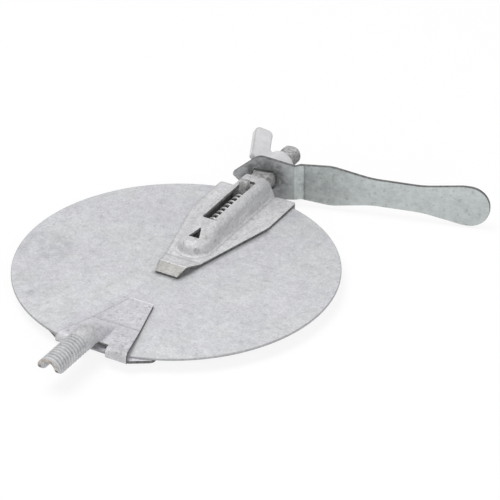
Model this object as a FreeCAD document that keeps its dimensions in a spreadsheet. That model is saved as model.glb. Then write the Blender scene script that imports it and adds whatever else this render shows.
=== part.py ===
import FreeCAD, Part
import Sketcher
import math
import os
import re

# Round duct damper set for a 4 in duct: a sheet blade, a sprung regulator with its shaft,
# handle and wing nut at +Y, and a stamped end bearing at -Y.
# The origin is the middle of the pivot line, +Y runs along the shaft to the handle, +Z is up.
# All sizes are in millimetres and degrees.

SIZES = {
    # blade
    "blade_diameter": 98.0,
    "blade_sheet": 0.7,
    "axis_height": 3.9,             # pivot line above the blade's top face
    # both clips
    "clip_sheet": 0.9,
    "fold_clearance": 0.3,          # blade edge to the inside of a fold
    "fold_inner_radius": 0.3,
    # regulator clip, flat part; places along the pivot line are distances in from the blade's edge
    "clip_half_width": 13.3,
    "clip_taper_end": 17.3,         # where the sides stop widening
    "clip_taper_round": 12.0,
    "clip_corner_round": 2.0,
    "lip_tip": 54.5,
    "lip_half_width": 3.6,
    "lip_crest": 51.0,
    "lip_slope": 22.0,
    "lip_crease": 45.3,
    "lower_leaf_length": 13.0,
    # regulator clip, tunnel
    "tunnel_base": 10.8,
    "tunnel_lean": 8.0,             # how far its sides lean in
    "tunnel_round": 2.5,
    "shaft_running_clearance": 0.1,
    "dome_centre": 38.0,
    "dome_crown": 1.3,              # top of the dome above the pivot line
    "dome_ramp_end": 31.0,          # where the tunnel has risen to its full height
    "tunnel_mouth_overhang": 0.6,   # past the edge of the blade
    "mouth_sweep": 2.2,             # how far the mouth's crown lies inside its feet
    "tunnel_foot_fillet": 0.9,
    "slot_start": 30.4,
    "slot_end": 5.1,
    "slot_width": 4.1,
    "slot_corner": 0.7,
    "window_base": 39.0,
    "window_apex": 34.1,
    "window_width": 3.7,
    "window_corner": 0.3,
    # drive shaft; the rear end lies inside the blade's edge, the other places outside it
    "shank_diameter": 7.0,
    "shank_start": 9.8,
    "flat_height": 2.35,            # of the flat along the shaft's whole top, above the pivot line
    "lug_length": 2.3,
    "lug_width": 2.6,
    "lug_top": 5.7,
    "lug_round": 1.0,
    "thread_diameter": 6.35,
    "thread_end": 21.7,
    "thread_end_round": 1.2,
    "valley_width": 0.7,            # the one thread valley that is modelled, just past the wing nut
    "valley_depth": 0.5,
    # return spring, of square wire
    "spring_wire": 0.8,
    "spring_diameter": 4.6,         # of the middle of the wire
    "spring_drop": 1.0,             # of the coil's axis below the pivot line
    "spring_pitch": 2.3,
    "spring_front": 32.8,           # in from the blade's edge
    "spring_seat_gap": 0.3,
    # handle, in its own frame: hole in the middle, arm along +X
    "handle_sheet": 1.1,
    "handle_at": 3.4,               # out from the blade's edge
    "handle_lean": 12.0,            # the handle hangs askew in its loose hole
    "hole_play": 0.5,
    "hole_play_flat": 0.2,
    "hole_round": 0.8,
    "plate_point": 10.7,
    "plate_point_round": 1.0,
    "plate_crest": 1.9,
    "plate_crest_half": 7.7,
    "plate_crest_round": 4.0,
    "plate_end": 9.9,
    "plate_end_half": 5.85,
    "jog_angle": 38.0,
    "jog_rise": 1.3,
    "jog_round": 0.8,
    "arm_angle": 3.9,
    "arm_shoulder": 9.5,            # distances along the arm from the jog
    "arm_shoulder_half": 6.8,
    "arm_shoulder_round": 12.0,
    "arm_waist_start": 22.0,
    "arm_waist_end": 20.8,          # back from the arm's tip, as the paddle
    "arm_waist_half": 4.55,
    "arm_waist_round": 30.0,
    "arm_paddle": 8.3,
    "arm_paddle_half": 6.7,
    "arm_paddle_round": 10.0,
    "arm_length": 58.8,
    "arm_tip_flat": 0.3,            # half the straight stretch across the tip
    "arm_droop": 1.3,
    # wing nut, in its own frame: base at 0, axis along +Y
    "nut_seat_gap": 0.1,
    "nut_turn": 215.0,
    "nut_base_diameter": 10.0,
    "nut_top_diameter": 8.6,
    "nut_height": 9.0,
    "nut_round": 0.7,
    "thread_play": 0.08,
    "wing_thickness": 2.0,
    "wing_foot": 8.2,
    "wing_foot_at": 0.9,
    "wing_tip": 14.0,
    "wing_tip_at": 11.9,
    "wing_tip_round": 2.2,
    "wing_head": 8.9,
    "wing_head_at": 15.5,
    "wing_head_round": 1.6,
    "wing_neck": 5.2,
    "wing_neck_at": 8.2,
    "wing_neck_round": 1.2,
    # end bearing; the leaf's places are distances in from the blade's edge
    "end_leaf_shift": 1.7,          # of the leaf's middle from the pivot line
    "end_inner": 27.0,
    "end_inner_half_width": 4.0,
    "end_corner_round": 0.8,
    "end_crease": 13.0,
    "end_fold_half_width": 11.9,
    "end_rise": 1.2,                # how far the leaf lifts off the blade at the fold
    "end_fold_inner_radius": 0.85,
    "end_notch_half_width": 4.9,
    "end_notch_at": 1.2,
    "end_lower_inner": 12.0,
    "end_lower_half_width": 18.6,
    "end_lower_widest": 4.4,
    "end_lower_inner_half_width": 14.0,
    "end_lower_round": 2.0,
    "rib_start": 11.8,
    "rib_start_half_width": 3.0,
    "rib_start_round": 0.8,
    "rib_bore_half_width": 2.1,
    "rib_bore_round": 0.5,
    "stud_length": 20.3,            # past the blade's edge
    "stud_diameter": 6.7,
    "stud_wall": 1.0,
    "arch_share": 0.97,             # of a full half circle in the top of an arch
    "stud_leg": 1.7,                # the half tube's legs below the pivot line
    "stud_tip_round": 3.0,
}

doc = FreeCAD.newDocument("duct_damper")
sheet = doc.addObject("Spreadsheet::Sheet", "Sizes")
for row, (name, size) in enumerate(SIZES.items(), start=1):
    sheet.set(f"A{row}", name)
    sheet.set(f"B{row}", str(size))
    sheet.setAlias(f"B{row}", name)
doc.recompute()

# Lengths that several pieces share, each worked out from the sheet
LEAF = "(-axis_height)"                                  # top of the blade, underside of the leaves
LEAF_TOP = f"({LEAF} + clip_sheet)"
UNDER = f"({LEAF} - blade_sheet)"                        # underside of the blade
BLADE_RADIUS = "(blade_diameter / 2)"
SHANK_RADIUS = "(shank_diameter / 2)"
THREAD_RADIUS = "(thread_diameter / 2)"
TUNNEL_CROWN = "(flat_height + shaft_running_clearance + clip_sheet)"
MOUTH = f"({BLADE_RADIUS} + tunnel_mouth_overhang)"
MOUTH_GAP = "(tunnel_base / 2 + tunnel_foot_fillet + fold_clearance)"
KEY_END = (f"({BLADE_RADIUS} + handle_at + handle_sheet / cos(handle_lean)"
           " + nut_base_diameter / 2 * tan(handle_lean))")
NUT_AT = f"({KEY_END} + nut_seat_gap)"
SPRING_LENGTH = "(spring_front - shank_start - spring_seat_gap - spring_wire / 2)"


def tie(text):
    """An expression whose size names point at the sheet."""
    return re.sub(r"[a-z_]+", lambda m: f"Sizes.{m[0]}" if m[0] in SIZES else m[0], text)


def number(text):
    """The present value of an expression in size names."""
    return float(sheet.evalExpression(tie(text)))


def inward(size):
    """The place on the pivot line that lies a size in from the blade's edge at +Y."""
    return f"({BLADE_RADIUS} - {size})"


def outward(size):
    """The place on the pivot line that lies a size out from the blade's edge at +Y."""
    return f"({BLADE_RADIUS} + {size})"


def new_body(name):
    body = doc.addObject("PartDesign::Body", name + "_body")
    body.Label = name
    return body


def plane_of(body, role):
    return next(item for item in body.Origin.OriginFeatures if item.Role == role)


def add_wire(sketch, corners):
    """One closed outline; a corner is (x, y) or (x, y, radius), each an expression."""
    places = [FreeCAD.Vector(number(c[0]), number(c[1]), 0) for c in corners]
    count = len(corners)
    lines = []
    arcs = {}
    starts, ends = [], []
    for index, corner in enumerate(corners):
        here = places[index]
        back = (places[index - 1] - here).normalize()
        ahead = (places[(index + 1) % count] - here).normalize()
        if len(corner) == 2:
            ends.append(here)
            starts.append(here)
            continue
        radius = number(corner[2])
        half = back.getAngle(ahead) / 2
        reach = radius / math.tan(half)
        middle = here + (back + ahead).normalize() * (radius / math.sin(half))
        ends.append(here + back * reach)
        starts.append(here + ahead * reach)
        first = math.atan2(ends[index].y - middle.y, ends[index].x - middle.x)
        last = math.atan2(starts[index].y - middle.y, starts[index].x - middle.x)
        left = ahead.x * back.y - ahead.y * back.x > 0
        circle = Part.Circle(middle, FreeCAD.Vector(0, 0, 1), radius)
        arc = Part.ArcOfCircle(circle, *((first, last) if left else (last, first)))
        arcs[index] = (sketch.addGeometry(arc, False), left)
    for index in range(count):
        segment = Part.LineSegment(starts[index], ends[(index + 1) % count])
        lines.append(sketch.addGeometry(segment, False))
    for index, corner in enumerate(corners):
        before, after = lines[index - 1], lines[index]
        if index in arcs:
            arc, left = arcs[index]
            point = sketch.addGeometry(Part.Point(places[index]), True)
            sketch.addConstraint(Sketcher.Constraint("PointOnObject", point, 1, before))
            sketch.addConstraint(Sketcher.Constraint("PointOnObject", point, 1, after))
            enter, leave = (1, 2) if left else (2, 1)
            sketch.addConstraint(Sketcher.Constraint("Tangent", before, 2, arc, enter))
            sketch.addConstraint(Sketcher.Constraint("Tangent", arc, leave, after, 1))
            bind(sketch, Sketcher.Constraint("Radius", arc, number(corner[2])), corner[2])
            anchor = point
        else:
            sketch.addConstraint(Sketcher.Constraint("Coincident", before, 2, after, 1))
            anchor = after
        for axis, text in (("DistanceX", corner[0]), ("DistanceY", corner[1])):
            bind(sketch, Sketcher.Constraint(axis, -1, 1, anchor, 1, number(text)), text)


def bind(sketch, constraint, text):
    index = sketch.addConstraint(constraint)
    if re.search("[a-z]", text):
        sketch.setExpression(f"Constraints[{index}]", tie(text))


def new_sketch(body, name, role, wires, offset=None):
    """A sketch of closed outlines on one of the body's own planes."""
    sketch = body.newObject("Sketcher::SketchObject", name)
    sketch.AttachmentSupport = (plane_of(body, role), [""])
    sketch.MapMode = "FlatFace"
    if offset:
        sketch.setExpression("AttachmentOffset.Base.z", tie(offset))
    for corners in wires:
        add_wire(sketch, corners)
    return sketch


def add_feature(body, kind, name, sketch, **settings):
    """A PartDesign feature; a text setting is an expression, anything else is set as it is."""
    feature = body.newObject("PartDesign::" + kind, name)
    feature.Profile = sketch
    for key, setting in settings.items():
        if isinstance(setting, str) and key in ("Length", "Pitch", "Height", "Angle"):
            feature.setExpression(key, tie(setting))
        else:
            setattr(feature, key, setting)
    sketch.Visibility = False
    doc.recompute()
    body.Tip = feature
    return feature


def mirrored(corners):
    """The same outline on the other side of the sketch's upright axis."""
    return [(f"-({c[0]})",) + tuple(c[1:]) for c in reversed(corners)]


def both_sides(corners):
    """A symmetric outline from the corners of its right-hand side."""
    return corners + mirrored(corners)


def shifted(corners, shift):
    """The same outline moved along the sketch's level axis."""
    return [(f"{c[0]} + {shift}",) + tuple(c[1:]) for c in corners]


def frame_around(half_width, low, high):
    return [(f"-({half_width})", low), (half_width, low), (half_width, high), (f"-({half_width})", high)]


def fillet_edges(body, name, edges, radius):
    base = body.Tip
    feature = body.newObject("PartDesign::Fillet", name)
    feature.Base = (base, edges)
    feature.setExpression("Radius", tie(radius))
    doc.recompute()
    body.Tip = feature


def edges_at(shape, half_width, height, low, high):
    """Names of the edges at one height, within half_width of the middle and from low to high in y."""
    level = number(height)
    names = []
    for index, edge in enumerate(shape.Edges, start=1):
        box = edge.BoundBox
        flat = abs(box.ZMin - level) < 0.001 and abs(box.ZMax - level) < 0.001
        inside = max(abs(box.XMin), abs(box.XMax)) < number(half_width)
        if flat and inside and box.YMin > number(low) and box.YMax < number(high):
            names.append(f"Edge{index}")
    return names


def make_blade():
    blade = doc.addObject("Part::Cylinder", "blade_disc")
    blade.Label = "blade"
    blade.setExpression("Radius", tie(BLADE_RADIUS))
    blade.setExpression("Height", tie("blade_sheet"))
    blade.setExpression("Placement.Base.z", tie(UNDER))
    return blade


def tunnel_half(crown, shrink):
    """Right-hand half of a tunnel section of one crown height, drawn in by shrink."""
    top = f"({crown} - {shrink})"
    return [
        (f"tunnel_base / 2 - {shrink}", LEAF),
        (f"tunnel_base / 2 - {shrink} - ({top} + axis_height) * tan(tunnel_lean)", top,
         f"tunnel_round - {shrink}"),
    ]


def add_loft(body, kind, name, first, last):
    """A loft between two outlines, each given as (outline, place along the pivot line)."""
    loft = body.newObject("PartDesign::" + kind, name)
    profile, section = (new_sketch(body, name + end, "XZ_Plane", [outline], f"-({place})")
                        for end, (outline, place) in (("_start", first), ("_end", last)))
    loft.Profile = profile
    loft.Sections = [section]
    doc.recompute()
    body.Tip = loft


def make_regulator_clip():
    body = new_body("regulator_clip")
    inside = f"(sqrt(pow({BLADE_RADIUS}; 2) - pow({MOUTH_GAP}; 2)) + fold_clearance)"
    outside = f"({inside} + clip_sheet)"
    outer_round = "fold_inner_radius + clip_sheet"
    lip_tip, lip_crest, lip_crease = inward("lip_tip"), inward("lip_crest"), inward("lip_crease")
    crest_rise = "(lip_tip - lip_crest) * tan(lip_slope)"
    section = [
        (lip_tip, LEAF),
        (lip_crest, f"{LEAF} + {crest_rise}"),
        (lip_crease, LEAF),
        (inside, LEAF, "fold_inner_radius"),
        (inside, UNDER, "fold_inner_radius"),
        (f"{inside} - lower_leaf_length", UNDER),
        (f"{inside} - lower_leaf_length", f"{UNDER} - clip_sheet"),
        (outside, f"{UNDER} - clip_sheet", outer_round),
        (outside, LEAF_TOP, outer_round),
        (lip_crease, LEAF_TOP),
        (lip_crest, f"{LEAF} + {crest_rise} + clip_sheet / cos(lip_slope)"),
        (f"{lip_tip} - clip_sheet * sin(lip_slope)", f"{LEAF} + clip_sheet * cos(lip_slope)"),
    ]
    sketch = new_sketch(body, "clip_section", "YZ_Plane", [section])
    add_feature(body, "Pad", "clip_strip", sketch, Length="2 * clip_half_width + clip_sheet", Midplane=True)

    right = [
        ("lip_half_width", f"{lip_tip} - clip_sheet"),
        ("clip_half_width", inward("clip_taper_end"), "clip_taper_round"),
        ("clip_half_width", outside, "clip_corner_round"),
    ]
    cut_frame = frame_around("2 * clip_half_width", f"{lip_tip} - clip_half_width",
                             f"{outside} + clip_half_width")
    sketch = new_sketch(body, "clip_outline", "XY_Plane", [both_sides(right), cut_frame])
    add_feature(body, "Pocket", "clip_trim", sketch, Type="ThroughAll", Midplane=True)

    notch = frame_around(MOUTH_GAP, f"{inside} - lower_leaf_length - clip_sheet",
                         f"{outside} + clip_sheet")
    sketch = new_sketch(body, "leaf_split", "XY_Plane", [notch], f"{LEAF} - blade_sheet / 2")
    add_feature(body, "Pocket", "leaf_gap", sketch, Type="ThroughAll")
    notch = frame_around(MOUTH_GAP, f"{inside} - fold_inner_radius", f"{outside} + clip_sheet")
    sketch = new_sketch(body, "mouth_split", "XY_Plane", [notch])
    add_feature(body, "Pocket", "mouth_gap", sketch, Type="ThroughAll", Midplane=True)

    # The tunnel rises over a ramp from the low round dome at its front, and its mouth is swept back
    dome, ramp_end = inward("dome_centre"), inward("dome_ramp_end")
    full, low = tunnel_half(TUNNEL_CROWN, "0"), tunnel_half("dome_crown", "0")
    sketch = new_sketch(body, "tunnel_section", "XZ_Plane", [both_sides(full)], f"-{ramp_end}")
    add_feature(body, "Pad", "tunnel", sketch, Length=f"{MOUTH} - {ramp_end}", Reversed=True)
    add_loft(body, "AdditiveLoft", "ramp", (both_sides(low), dome), (both_sides(full), ramp_end))
    sketch = new_sketch(body, "dome_section", "XZ_Plane", [[("0", LEAF)] + low + [("0", "dome_crown")]],
                        f"-{dome}")
    add_feature(body, "Revolution", "dome", sketch, ReferenceAxis=(sketch, ["V_Axis"]), Angle=180.0,
                Reversed=True)
    foot = edges_at(body.Tip.Shape, "tunnel_base / 2", LEAF_TOP, f"{dome} - tunnel_base / 2", inside)
    fillet_edges(body, "tunnel_foot", foot, "tunnel_foot_fillet")
    sweep = [
        (MOUTH, LEAF_TOP),
        (f"{MOUTH} + mouth_sweep", LEAF_TOP),
        (f"{MOUTH} + mouth_sweep", TUNNEL_CROWN),
        (f"{MOUTH} - mouth_sweep", TUNNEL_CROWN),
    ]
    sketch = new_sketch(body, "mouth_side", "YZ_Plane", [sweep])
    add_feature(body, "Pocket", "mouth_cut", sketch, Type="ThroughAll", Midplane=True)

    # The same three stretches again, one sheet smaller, hollow it out from below
    below = ("tunnel_base / 2 - clip_sheet", f"{UNDER} - clip_sheet")
    full, low = ([below] + tunnel_half(crown, "clip_sheet") for crown in (TUNNEL_CROWN, "dome_crown"))
    sketch = new_sketch(body, "bore_section", "XZ_Plane", [both_sides(full)], f"-{ramp_end}")
    add_feature(body, "Pocket", "bore", sketch, Type="ThroughAll")
    add_loft(body, "SubtractiveLoft", "ramp_bore", (both_sides(low), dome), (both_sides(full), ramp_end))
    half = [("0", below[1])] + low + [("0", "dome_crown - clip_sheet")]
    sketch = new_sketch(body, "dome_bore_section", "XZ_Plane", [half], f"-{dome}")
    add_feature(body, "Groove", "dome_bore", sketch, ReferenceAxis=(sketch, ["V_Axis"]), Angle=180.0,
                Reversed=True)

    slot = [
        ("slot_width / 2", inward("slot_start"), "slot_corner"),
        ("slot_width / 2", inward("slot_end"), "slot_corner"),
    ]
    window = [
        ("window_width / 2", inward("window_base"), "window_corner"),
        ("0", inward("window_apex"), "window_corner"),
        ("-window_width / 2", inward("window_base"), "window_corner"),
    ]
    sketch = new_sketch(body, "openings", "XY_Plane", [both_sides(slot), window],
                        "dome_crown - 2 * clip_sheet")
    add_feature(body, "Pocket", "slot_and_window", sketch, Type="ThroughAll", Reversed=True)
    return body


def make_drive_shaft():
    body = new_body("drive_shaft")
    rear = inward("shank_start")
    valley = f"({NUT_AT} + nut_height + nut_seat_gap)"
    half = [
        ("0", rear),
        (SHANK_RADIUS, rear),
        (SHANK_RADIUS, KEY_END),
        (THREAD_RADIUS, KEY_END),
        (THREAD_RADIUS, valley),
        (f"{THREAD_RADIUS} - valley_depth", f"{valley} + valley_width / 2"),
        (THREAD_RADIUS, f"{valley} + valley_width"),
        (THREAD_RADIUS, outward("thread_end"), "thread_end_round"),
        ("0", outward("thread_end")),
    ]
    sketch = new_sketch(body, "shaft_half", "XY_Plane", [half])
    add_feature(body, "Revolution", "shaft_round", sketch, ReferenceAxis=(sketch, ["V_Axis"]), Angle=360.0)
    # The flat carries the handle's hole and runs under the tunnel's crown; the lug stands up from it
    above_flat = [
        (rear, "flat_height"),
        (outward("thread_end"), "flat_height"),
        (outward("thread_end"), "shank_diameter"),
        (rear, "shank_diameter"),
    ]
    sketch = new_sketch(body, "flat_side", "YZ_Plane", [above_flat])
    add_feature(body, "Pocket", "flat_cut", sketch, Type="ThroughAll", Midplane=True)
    lug = [
        (rear, "0"),
        (f"{rear} + lug_length", "0"),
        (f"{rear} + lug_length", "lug_top", "lug_round"),
        (rear, "lug_top", "lug_round"),
    ]
    sketch = new_sketch(body, "lug_side", "YZ_Plane", [lug])
    add_feature(body, "Pad", "lug", sketch, Length="lug_width", Midplane=True)
    return body


def make_return_spring():
    body = new_body("return_spring")
    low, high = "(spring_diameter - spring_wire) / 2", "(spring_diameter + spring_wire) / 2"
    front, back = f"{inward('spring_front')} - spring_wire / 2", f"{inward('spring_front')} + spring_wire / 2"
    wire = [(low, front), (high, front), (high, back), (low, back)]
    sketch = new_sketch(body, "wire_section", "XY_Plane", [wire], "-spring_drop")
    add_feature(body, "AdditiveHelix", "coil", sketch, ReferenceAxis=(sketch, ["V_Axis"]),
                Mode="pitch-height-angle", Pitch="spring_pitch", Height=SPRING_LENGTH)
    return body


def make_handle():
    body = new_body("handle")
    arm_start = "(plate_end + jog_rise / tan(jog_angle))"
    arm_end = f"({arm_start} + arm_length)"
    arm_end_at = "(jog_rise + arm_length * tan(arm_angle))"
    middle = "((jog_angle + arm_angle) / 2)"
    spread = "cos((jog_angle - arm_angle) / 2)"
    section = [
        ("-2 * plate_point", "0"),
        ("plate_end", "0", "jog_round"),
        (arm_start, "jog_rise", "jog_round"),
        (arm_end, arm_end_at),
        (arm_end, f"{arm_end_at} + handle_sheet / cos(arm_angle)"),
        (f"{arm_start} - handle_sheet * sin({middle}) / {spread}",
         f"jog_rise + handle_sheet * cos({middle}) / {spread}", "jog_round"),
        ("plate_end - handle_sheet * tan(jog_angle / 2)", "handle_sheet", "jog_round"),
        ("-2 * plate_point", "handle_sheet"),
    ]
    sketch = new_sketch(body, "handle_section", "XY_Plane", [section])
    add_feature(body, "Pad", "handle_strip", sketch, Length="3 * plate_crest_half", Midplane=True)

    def edge(side):
        """One long edge of the outline, from the plate to the arm's tip; side is empty or a minus."""
        arm = (
            ("arm_shoulder", "arm_shoulder_half", "arm_shoulder_round"),
            ("arm_waist_start", "arm_waist_half", "arm_waist_round"),
            ("(arm_length - arm_waist_end)", "arm_waist_half", "arm_waist_round"),
            ("(arm_length - arm_paddle)", "arm_paddle_half", "arm_paddle_round"),
            ("arm_length", "arm_paddle_half", "arm_paddle_half - arm_tip_flat"),
        )
        plate = [
            ("-plate_crest", f"{side}plate_crest_half", "plate_crest_round"),
            ("plate_end", f"{side}plate_end_half"),
        ]
        return plate + [(f"{arm_start} + {along}", f"{side}{half} - {along} * tan(arm_droop)", radius)
                        for along, half, radius in arm]

    outline = [("-plate_point", "0", "plate_point_round")] + edge("") + edge("-")[::-1]
    cut_frame = [
        ("-3 * plate_point", "-2 * plate_crest_half"),
        (f"{arm_end} + plate_point", "-2 * plate_crest_half"),
        (f"{arm_end} + plate_point", "2 * plate_crest_half"),
        ("-3 * plate_point", "2 * plate_crest_half"),
    ]
    sketch = new_sketch(body, "handle_outline", "XZ_Plane", [outline, cut_frame])
    add_feature(body, "Pocket", "handle_trim", sketch, Type="ThroughAll", Midplane=True)
    hole_half = f"({SHANK_RADIUS} + hole_play)"
    hole = [
        (hole_half, f"-{hole_half}", f"{SHANK_RADIUS}"),
        (hole_half, "flat_height + hole_play_flat", "hole_round"),
    ]
    sketch = new_sketch(body, "key_hole", "XZ_Plane", [both_sides(hole)])
    add_feature(body, "Pocket", "key_hole_cut", sketch, Type="ThroughAll", Midplane=True)
    body.setExpression("Placement.Base.y", tie(outward("handle_at")))
    body.Placement.Rotation = FreeCAD.Rotation(FreeCAD.Vector(0, 0, 1), 1)
    body.setExpression("Placement.Rotation.Angle", tie("handle_lean"))
    return body


def make_wing_nut():
    body = new_body("wing_nut")
    bore = f"{THREAD_RADIUS} + thread_play"
    half = [
        (bore, "0"),
        ("nut_base_diameter / 2", "0"),
        ("nut_top_diameter / 2", "nut_height", "nut_round"),
        (bore, "nut_height"),
    ]
    sketch = new_sketch(body, "hub_half", "XY_Plane", [half])
    add_feature(body, "Revolution", "hub", sketch, ReferenceAxis=(sketch, ["V_Axis"]), Angle=360.0)
    root = f"({THREAD_RADIUS} + thread_play + nut_round)"
    wing = [
        (root, "wing_foot_at"),
        ("wing_foot", "wing_foot_at"),
        ("wing_tip", "wing_tip_at", "wing_tip_round"),
        ("wing_head", "wing_head_at", "wing_head_round"),
        ("wing_neck", "wing_neck_at", "wing_neck_round"),
        (root, "nut_height - nut_round"),
    ]
    sketch = new_sketch(body, "wings_side", "XY_Plane", [wing, mirrored(wing)])
    add_feature(body, "Pad", "wings", sketch, Length="wing_thickness", Midplane=True)
    body.setExpression("Placement.Base.y", tie(NUT_AT))
    body.Placement.Rotation = FreeCAD.Rotation(FreeCAD.Vector(0, 1, 0), 1)
    body.setExpression("Placement.Rotation.Angle", tie("nut_turn"))
    return body


def make_end_bearing():
    body = new_body("end_bearing")
    inside = f"(-sqrt(pow({BLADE_RADIUS}; 2) - pow(end_notch_half_width; 2)) - fold_clearance)"
    outside = f"({inside} - clip_sheet)"
    inner, crease, widest = (f"-{inward(size)}" for size in ("end_inner", "end_crease", "end_lower_widest"))
    section = [
        (inner, LEAF),
        (crease, LEAF),
        (inside, f"{LEAF} + end_rise", "end_fold_inner_radius"),
        (inside, UNDER, "fold_inner_radius"),
        (widest, UNDER),
        (widest, f"{UNDER} - clip_sheet"),
        (outside, f"{UNDER} - clip_sheet", "fold_inner_radius + clip_sheet"),
        (outside, f"{LEAF_TOP} + end_rise", "end_fold_inner_radius + clip_sheet"),
        (crease, LEAF_TOP),
        (inner, LEAF_TOP),
    ]
    sketch = new_sketch(body, "end_section", "YZ_Plane", [section])
    add_feature(body, "Pad", "end_strip", sketch, Length="2 * (end_fold_half_width + end_leaf_shift)",
                Midplane=True)
    right = [
        ("end_fold_half_width", f"{outside} - clip_sheet"),
        ("end_fold_half_width", outside),
        ("end_inner_half_width", inner, "end_corner_round"),
    ]
    cut_frame = frame_around("2 * end_fold_half_width", f"{outside} - 2 * clip_sheet", "0")
    sketch = new_sketch(body, "end_outline", "XY_Plane",
                        [shifted(both_sides(right), "end_leaf_shift"), cut_frame])
    add_feature(body, "Pocket", "end_trim", sketch, Type="ThroughAll", Midplane=True)

    right = [
        ("end_fold_half_width", f"{inside} + fold_inner_radius"),
        ("end_lower_half_width", widest, "end_lower_round"),
        ("end_lower_inner_half_width", f"-{inward('end_lower_inner')}", "end_lower_round"),
    ]
    sketch = new_sketch(body, "lower_leaf", "XY_Plane", [shifted(both_sides(right), "end_leaf_shift")], UNDER)
    add_feature(body, "Pad", "lower_leaf_sheet", sketch, Length="clip_sheet", Reversed=True)
    notch = frame_around("end_notch_half_width", f"{outside} - clip_sheet", f"-{inward('end_notch_at')}")
    sketch = new_sketch(body, "fold_notch", "XY_Plane", [shifted(notch, "end_leaf_shift")])
    add_feature(body, "Pocket", "fold_notch_cut", sketch, Type="ThroughAll", Midplane=True)

    def arch(half_width, foot, crown, corner=None):
        corner = corner or f"arch_share * ({half_width})"
        return both_sides([(half_width, foot), (half_width, crown, corner)])

    outer_root = arch("stud_diameter / 2", "-stud_leg", "stud_diameter / 2")
    inner_root = arch("stud_diameter / 2 - stud_wall", "-stud_leg - stud_wall",
                      "stud_diameter / 2 - stud_wall")
    outer_start = arch("rib_start_half_width", LEAF, LEAF_TOP, "rib_start_round")
    inner_start = arch("rib_bore_half_width", UNDER, f"{LEAF_TOP} - stud_wall", "rib_bore_round")
    for name, start, root, adds in (("rib", outer_start, outer_root, True),
                                    ("rib_bore", inner_start, inner_root, False)):
        add_loft(body, "AdditiveLoft" if adds else "SubtractiveLoft", name,
                 (start, f"-{inward('rib_start')}"), (root, f"-{BLADE_RADIUS}"))
        tube = new_sketch(body, name + "_tube", "XZ_Plane", [root], BLADE_RADIUS)
        add_feature(body, "Pad" if adds else "Pocket", name + "_stud", tube,
                    Length="stud_length" if adds else "stud_length + stud_wall", Reversed=not adds)
    stud_end = f"-{outward('stud_length')}"
    corners = edges_at(body.Tip.Shape, "stud_diameter", "-stud_leg", f"{stud_end} - stud_wall",
                       f"{stud_end} + stud_wall")
    fillet_edges(body, "stud_tip", corners, "stud_tip_round")
    return body


def check_document(pieces):
    for item in doc.Objects:
        bad = [flag for flag in item.State if flag in ("Invalid", "Error")]
        if bad:
            raise RuntimeError(f"{item.Name} is {bad}")
    for piece in pieces:
        if piece.Shape.isNull() or not piece.Shape.isValid() or not piece.Shape.Solids:
            raise RuntimeError(f"{piece.Label} has no valid solid")


pieces = [
    make_blade(),
    make_regulator_clip(),
    make_drive_shaft(),
    make_return_spring(),
    make_handle(),
    make_wing_nut(),
    make_end_bearing(),
]
doc.recompute()
check_document(pieces)

os.makedirs("parts", exist_ok=True)
for piece in pieces:
    piece.Shape.exportStep(f"parts/{piece.Label}.step")
    box = piece.Shape.BoundBox
    print(f"{piece.Label}: {len(piece.Shape.Solids)} solid, {piece.Shape.Volume:.1f} mm3, "
          f"x {box.XMin:.1f} to {box.XMax:.1f}, y {box.YMin:.1f} to {box.YMax:.1f}, "
          f"z {box.ZMin:.1f} to {box.ZMax:.1f}")
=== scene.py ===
# %% [markdown]
# A round duct damper on a white table.
# The part is a sheet blade on a pivot line. At one side sit a sprung regulator, a lever and a
# wing nut, and at the other a stamped end bearing. The solids of the part give every size and
# place. This lesson dresses them: it softens their edges, cuts their threads, winds the spring
# and gives each metal its own finish.

# %% Load the frame
import math

import bmesh
import bpy
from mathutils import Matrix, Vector
from mathutils.bvhtree import BVHTree


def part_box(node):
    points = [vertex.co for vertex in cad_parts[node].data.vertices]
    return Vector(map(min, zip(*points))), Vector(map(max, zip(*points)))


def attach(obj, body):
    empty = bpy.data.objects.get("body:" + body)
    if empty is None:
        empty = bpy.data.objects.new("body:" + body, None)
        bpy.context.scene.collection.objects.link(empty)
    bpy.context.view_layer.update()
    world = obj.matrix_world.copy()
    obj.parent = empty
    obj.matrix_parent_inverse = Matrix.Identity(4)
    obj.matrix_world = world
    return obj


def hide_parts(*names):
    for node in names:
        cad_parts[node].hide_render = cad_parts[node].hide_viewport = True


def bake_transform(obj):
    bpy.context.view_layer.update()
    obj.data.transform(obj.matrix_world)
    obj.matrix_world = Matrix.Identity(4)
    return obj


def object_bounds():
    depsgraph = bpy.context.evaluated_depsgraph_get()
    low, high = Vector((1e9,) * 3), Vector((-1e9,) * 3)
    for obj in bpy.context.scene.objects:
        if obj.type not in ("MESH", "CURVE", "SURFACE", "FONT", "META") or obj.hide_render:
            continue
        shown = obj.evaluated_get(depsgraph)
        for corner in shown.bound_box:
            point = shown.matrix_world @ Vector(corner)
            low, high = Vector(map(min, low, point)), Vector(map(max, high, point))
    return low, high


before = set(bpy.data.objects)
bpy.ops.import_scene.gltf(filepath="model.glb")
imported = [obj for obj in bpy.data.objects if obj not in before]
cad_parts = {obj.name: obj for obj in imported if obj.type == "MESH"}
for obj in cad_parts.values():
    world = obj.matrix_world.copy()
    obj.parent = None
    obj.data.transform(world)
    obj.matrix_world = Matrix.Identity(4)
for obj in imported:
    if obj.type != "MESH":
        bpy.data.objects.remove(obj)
cad_low, cad_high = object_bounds()
MM = 0.001
print("nodes:", ", ".join(sorted(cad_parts)))


# %% [markdown]
# A procedural material is a chain of nodes, and most of the chains here have the same links: noise
# on Object coordinates, a ramp that turns the noise into two tones, and a bump. They could be
# linked by hand in the shader editor. A few helpers make each link one line instead. Object
# coordinates are in metres, so a noise scale of 1000 gives grains of about a millimetre.

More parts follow.
